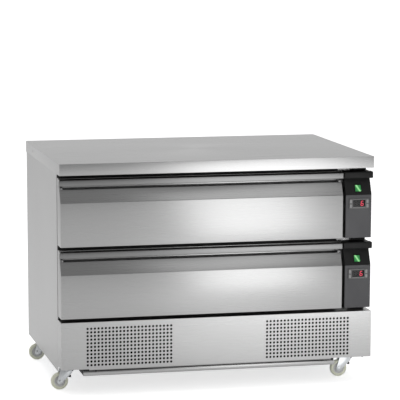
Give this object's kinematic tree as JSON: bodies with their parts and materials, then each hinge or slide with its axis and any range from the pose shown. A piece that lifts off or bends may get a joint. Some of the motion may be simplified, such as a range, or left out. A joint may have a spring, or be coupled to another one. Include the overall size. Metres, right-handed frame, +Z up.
{
  "type": "undercounter drawer refrigerator",
  "caption": "Low stainless steel refrigerator with stacked pull-out drawers, control pods at the side, a perforated base front and a flat worktop, standing on castors.",
  "frame": {"origin": "on the floor, at the middle of the length and the depth of the whole object", "axes": "+X along the length towards the control pods, +Y from the drawer fronts to the back, +Z up"},
  "size_m": [1.194, 0.8, 0.85],
  "materials": {
    "worktop_steel": "satin brushed stainless steel, grain along the length",
    "sheet_steel": "satin brushed stainless steel sheet",
    "perforated_steel": "brushed stainless steel sheet with rows of round holes",
    "drawer_steel": "brushed stainless steel, grain along the front",
    "liner_steel": "bright smooth stainless steel sheet",
    "core_board": "plain board core",
    "foam": "cream rigid foam",
    "inner_pan": "white moulded inner pan over foam",
    "gasket_rubber": "soft grey rubber",
    "zinc_plate": "bright zinc plated steel",
    "dark_steel": "matt black painted steel",
    "pod_plastic": "black moulded plastic, fine texture",
    "fascia_plastic": "dark grey film over the pod front",
    "switch_green": "translucent green, lit from inside",
    "controller_plastic": "black bezel with a smoked display window",
    "key_plastic": "pale grey moulded key",
    "castor_tyre": "cream tyre on a grey hub",
    "fin_aluminium": "bare aluminium fins",
    "fan_plastic": "black moulded fan",
    "compressor_enamel": "black enamelled steel can"
  },
  "bodies": {
    "cabinet": {"worktop": "worktop_steel", "worktop_core": "core_board", "casing": "sheet_steel", "base_surround": "sheet_steel", "condensate_tray": "sheet_steel", "base_front_panel": "perforated_steel", "lower_liner": "liner_steel", "upper_liner": "liner_steel", "insulation": "foam", "cable_gland": "gasket_rubber", "chassis": "zinc_plate", "tray_runners": "dark_steel", "lower_pod_housing": "pod_plastic", "upper_pod_housing": "pod_plastic", "lower_fascia": "fascia_plastic", "upper_fascia": "fascia_plastic", "lower_controller": "controller_plastic", "upper_controller": "controller_plastic", "lower_evaporator": "fin_aluminium", "upper_evaporator": "fin_aluminium", "left_condenser": "fin_aluminium", "right_condenser": "fin_aluminium", "left_compressor": "compressor_enamel", "right_compressor": "compressor_enamel"},
    "lower_drawer": {"lower_drawer_shell": "drawer_steel", "lower_drawer_core": "inner_pan", "lower_gasket": "gasket_rubber", "lower_bin": "liner_steel"},
    "lower_slides": {"lower_slide_left": "zinc_plate", "lower_slide_right": "zinc_plate"},
    "lower_rocker": {"lower_rocker_switch": "switch_green"},
    "lower_key_1": {"lower_key_1": "key_plastic"},
    "lower_key_2": {"lower_key_2": "key_plastic"},
    "lower_key_3": {"lower_key_3": "key_plastic"},
    "lower_key_4": {"lower_key_4": "key_plastic"},
    "lower_evaporator_fan": {"lower_evaporator_fan": "fan_plastic"},
    "upper_drawer": {"upper_drawer_shell": "drawer_steel", "upper_drawer_core": "inner_pan", "upper_gasket": "gasket_rubber", "upper_bin": "liner_steel"},
    "upper_slides": {"upper_slide_left": "zinc_plate", "upper_slide_right": "zinc_plate"},
    "upper_rocker": {"upper_rocker_switch": "switch_green"},
    "upper_key_1": {"upper_key_1": "key_plastic"},
    "upper_key_2": {"upper_key_2": "key_plastic"},
    "upper_key_3": {"upper_key_3": "key_plastic"},
    "upper_key_4": {"upper_key_4": "key_plastic"},
    "upper_evaporator_fan": {"upper_evaporator_fan": "fan_plastic"},
    "left_condenser_fan": {"left_condenser_fan": "fan_plastic"},
    "right_condenser_fan": {"right_condenser_fan": "fan_plastic"},
    "castor_front_left": {"castor_fork_front_left": "zinc_plate"},
    "wheel_front_left": {"castor_wheel_front_left": "castor_tyre"},
    "brake_front_left": {"brake_pedal_front_left": "pod_plastic"},
    "castor_front_right": {"castor_fork_front_right": "zinc_plate"},
    "wheel_front_right": {"castor_wheel_front_right": "castor_tyre"},
    "brake_front_right": {"brake_pedal_front_right": "pod_plastic"},
    "castor_rear_left": {"castor_fork_rear_left": "zinc_plate"},
    "wheel_rear_left": {"castor_wheel_rear_left": "castor_tyre"},
    "castor_rear_right": {"castor_fork_rear_right": "zinc_plate"},
    "wheel_rear_right": {"castor_wheel_rear_right": "castor_tyre"}
  },
  "joints": [
    {"name": "lower_drawer_slide", "type": "slide", "parent": "cabinet", "child": "lower_drawer", "axis": [0, -1, 0], "range_m": [0, 0.5]},
    {"name": "lower_middle_slide", "type": "slide", "parent": "cabinet", "child": "lower_slides", "axis": [0, -1, 0], "range_m": [0, 0.25]},
    {"name": "lower_rocker_turn", "type": "hinge", "parent": "cabinet", "child": "lower_rocker", "pos_m": [0.541, -0.38219, 0.46695], "axis": [1, 0, 0], "range_deg": [0, 15]},
    {"name": "lower_key_1_press", "type": "slide", "parent": "cabinet", "child": "lower_key_1", "axis": [0, 1, 0], "range_m": [0, 0.0008], "stiffness_N_per_m": 600, "springref_m": -0.001},
    {"name": "lower_key_2_press", "type": "slide", "parent": "cabinet", "child": "lower_key_2", "axis": [0, 1, 0], "range_m": [0, 0.0008], "stiffness_N_per_m": 600, "springref_m": -0.001},
    {"name": "lower_key_3_press", "type": "slide", "parent": "cabinet", "child": "lower_key_3", "axis": [0, 1, 0], "range_m": [0, 0.0008], "stiffness_N_per_m": 600, "springref_m": -0.001},
    {"name": "lower_key_4_press", "type": "slide", "parent": "cabinet", "child": "lower_key_4", "axis": [0, 1, 0], "range_m": [0, 0.0008], "stiffness_N_per_m": 600, "springref_m": -0.001},
    {"name": "lower_evaporator_fan_spin", "type": "hinge", "parent": "cabinet", "child": "lower_evaporator_fan", "pos_m": [0.239, 0.2977, 0.406], "axis": [0, 1, 0], "continuous": true},
    {"name": "upper_drawer_slide", "type": "slide", "parent": "cabinet", "child": "upper_drawer", "axis": [0, -1, 0], "range_m": [0, 0.5]},
    {"name": "upper_middle_slide", "type": "slide", "parent": "cabinet", "child": "upper_slides", "axis": [0, -1, 0], "range_m": [0, 0.25]},
    {"name": "upper_rocker_turn", "type": "hinge", "parent": "cabinet", "child": "upper_rocker", "pos_m": [0.541, -0.38219, 0.72995], "axis": [1, 0, 0], "range_deg": [0, 15]},
    {"name": "upper_key_1_press", "type": "slide", "parent": "cabinet", "child": "upper_key_1", "axis": [0, 1, 0], "range_m": [0, 0.0008], "stiffness_N_per_m": 600, "springref_m": -0.001},
    {"name": "upper_key_2_press", "type": "slide", "parent": "cabinet", "child": "upper_key_2", "axis": [0, 1, 0], "range_m": [0, 0.0008], "stiffness_N_per_m": 600, "springref_m": -0.001},
    {"name": "upper_key_3_press", "type": "slide", "parent": "cabinet", "child": "upper_key_3", "axis": [0, 1, 0], "range_m": [0, 0.0008], "stiffness_N_per_m": 600, "springref_m": -0.001},
    {"name": "upper_key_4_press", "type": "slide", "parent": "cabinet", "child": "upper_key_4", "axis": [0, 1, 0], "range_m": [0, 0.0008], "stiffness_N_per_m": 600, "springref_m": -0.001},
    {"name": "upper_evaporator_fan_spin", "type": "hinge", "parent": "cabinet", "child": "upper_evaporator_fan", "pos_m": [0.239, 0.2977, 0.669], "axis": [0, 1, 0], "continuous": true},
    {"name": "left_condenser_fan_spin", "type": "hinge", "parent": "cabinet", "child": "left_condenser_fan", "pos_m": [-0.337, -0.265, 0.1763], "axis": [0, 1, 0], "continuous": true},
    {"name": "right_condenser_fan_spin", "type": "hinge", "parent": "cabinet", "child": "right_condenser_fan", "pos_m": [0.355, -0.265, 0.1763], "axis": [0, 1, 0], "continuous": true},
    {"name": "castor_swivel_front_left", "type": "hinge", "parent": "cabinet", "child": "castor_front_left", "pos_m": [-0.54, -0.278, 0.0847], "axis": [0, 0, 1], "continuous": true},
    {"name": "wheel_roll_front_left", "type": "hinge", "parent": "castor_front_left", "child": "wheel_front_left", "pos_m": [-0.565, -0.278, 0.032], "axis": [0, 1, 0], "continuous": true},
    {"name": "brake_press_front_left", "type": "hinge", "parent": "castor_front_left", "child": "brake_front_left", "pos_m": [-0.524, -0.278, 0.0697], "axis": [0, 1, 0], "range_deg": [0, 10]},
    {"name": "castor_swivel_front_right", "type": "hinge", "parent": "cabinet", "child": "castor_front_right", "pos_m": [0.531, -0.278, 0.0847], "axis": [0, 0, 1], "continuous": true},
    {"name": "wheel_roll_front_right", "type": "hinge", "parent": "castor_front_right", "child": "wheel_front_right", "pos_m": [0.506, -0.278, 0.032], "axis": [0, 1, 0], "continuous": true},
    {"name": "brake_press_front_right", "type": "hinge", "parent": "castor_front_right", "child": "brake_front_right", "pos_m": [0.547, -0.278, 0.0697], "axis": [0, 1, 0], "range_deg": [0, 10]},
    {"name": "castor_swivel_rear_left", "type": "hinge", "parent": "cabinet", "child": "castor_rear_left", "pos_m": [-0.54, 0.262, 0.0847], "axis": [0, 0, 1], "continuous": true},
    {"name": "wheel_roll_rear_left", "type": "hinge", "parent": "castor_rear_left", "child": "wheel_rear_left", "pos_m": [-0.565, 0.262, 0.032], "axis": [0, 1, 0], "continuous": true},
    {"name": "castor_swivel_rear_right", "type": "hinge", "parent": "cabinet", "child": "castor_rear_right", "pos_m": [0.531, 0.262, 0.0847], "axis": [0, 0, 1], "continuous": true},
    {"name": "wheel_roll_rear_right", "type": "hinge", "parent": "castor_rear_right", "child": "wheel_rear_right", "pos_m": [0.506, 0.262, 0.032], "axis": [0, 1, 0], "continuous": true}
  ],
  "couplings": [
    {"joint": "lower_middle_slide", "follows": "lower_drawer_slide", "ratio": 0.5},
    {"joint": "upper_middle_slide", "follows": "upper_drawer_slide", "ratio": 0.5}
  ]
}
